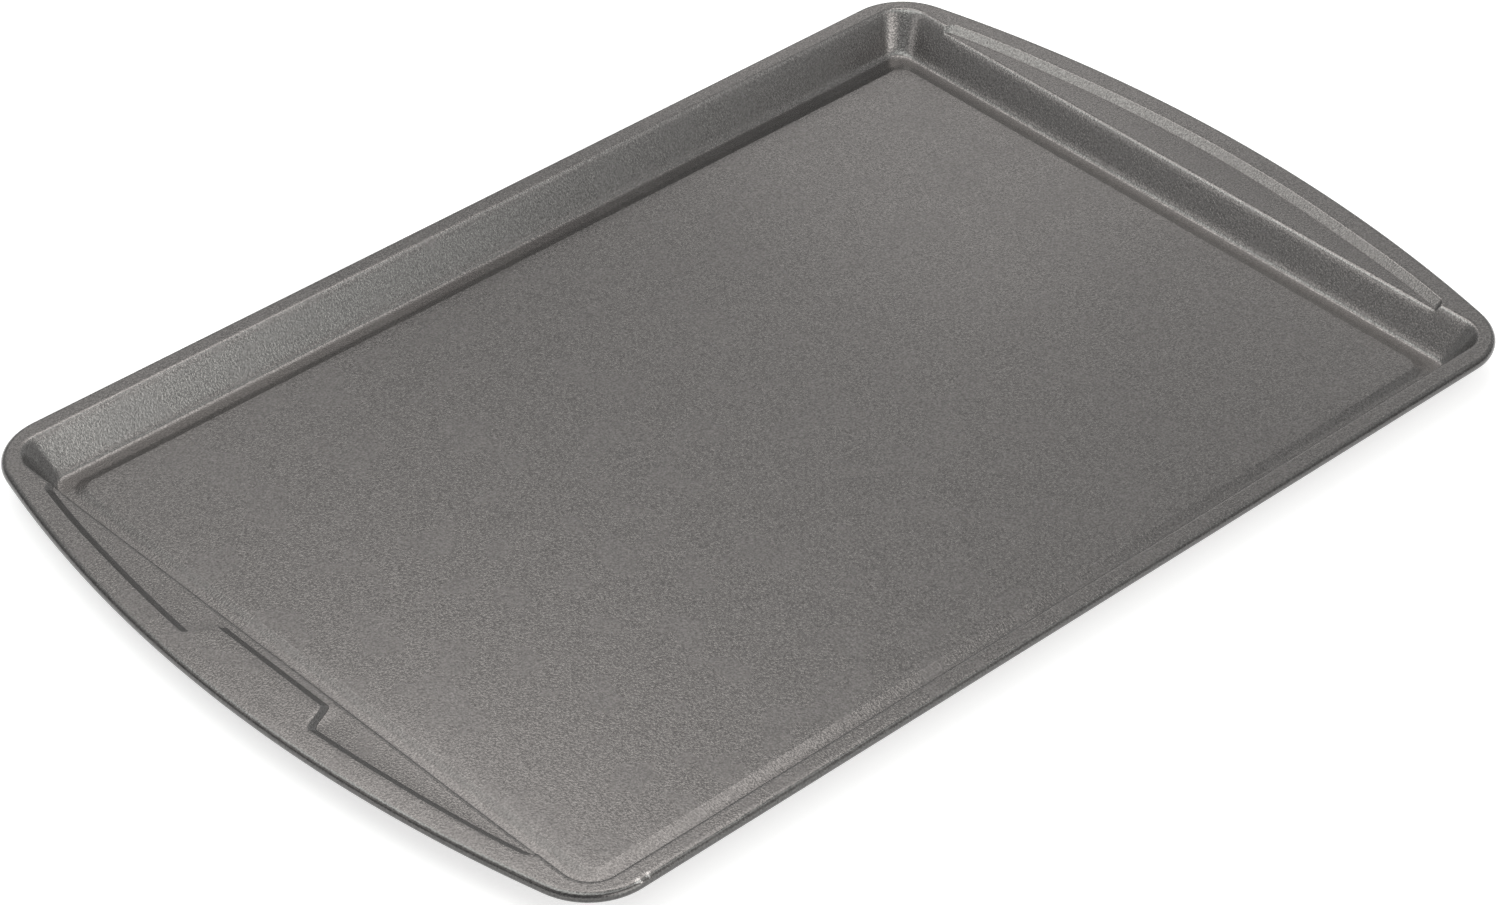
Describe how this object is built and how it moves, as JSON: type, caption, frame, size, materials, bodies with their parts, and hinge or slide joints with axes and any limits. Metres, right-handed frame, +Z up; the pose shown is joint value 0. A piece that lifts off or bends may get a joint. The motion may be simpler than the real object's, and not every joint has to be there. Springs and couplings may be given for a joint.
{
  "type": "sheet pan",
  "caption": "Rectangular pressed-steel baking sheet with a raised flat floor, a gutter round it, leaning walls, a wired rolled rim and a bowed handle flange at each end.",
  "frame": {"origin": "middle of the footprint, level with the underside of the gutter that the pan stands on", "axes": "+X along the length towards the handle without the tab, +Y across the width, +Z up out of the open top"},
  "size_m": [0.432, 0.279, 0.0146],
  "materials": {
    "coated_steel": "satin speckled grey non-stick coating over pressed carbon steel",
    "wire_steel": "plain drawn steel wire"
  },
  "bodies": {
    "root": {"pan_shell": "coated_steel", "rim_wire": "wire_steel"}
  },
  "joints": []
}
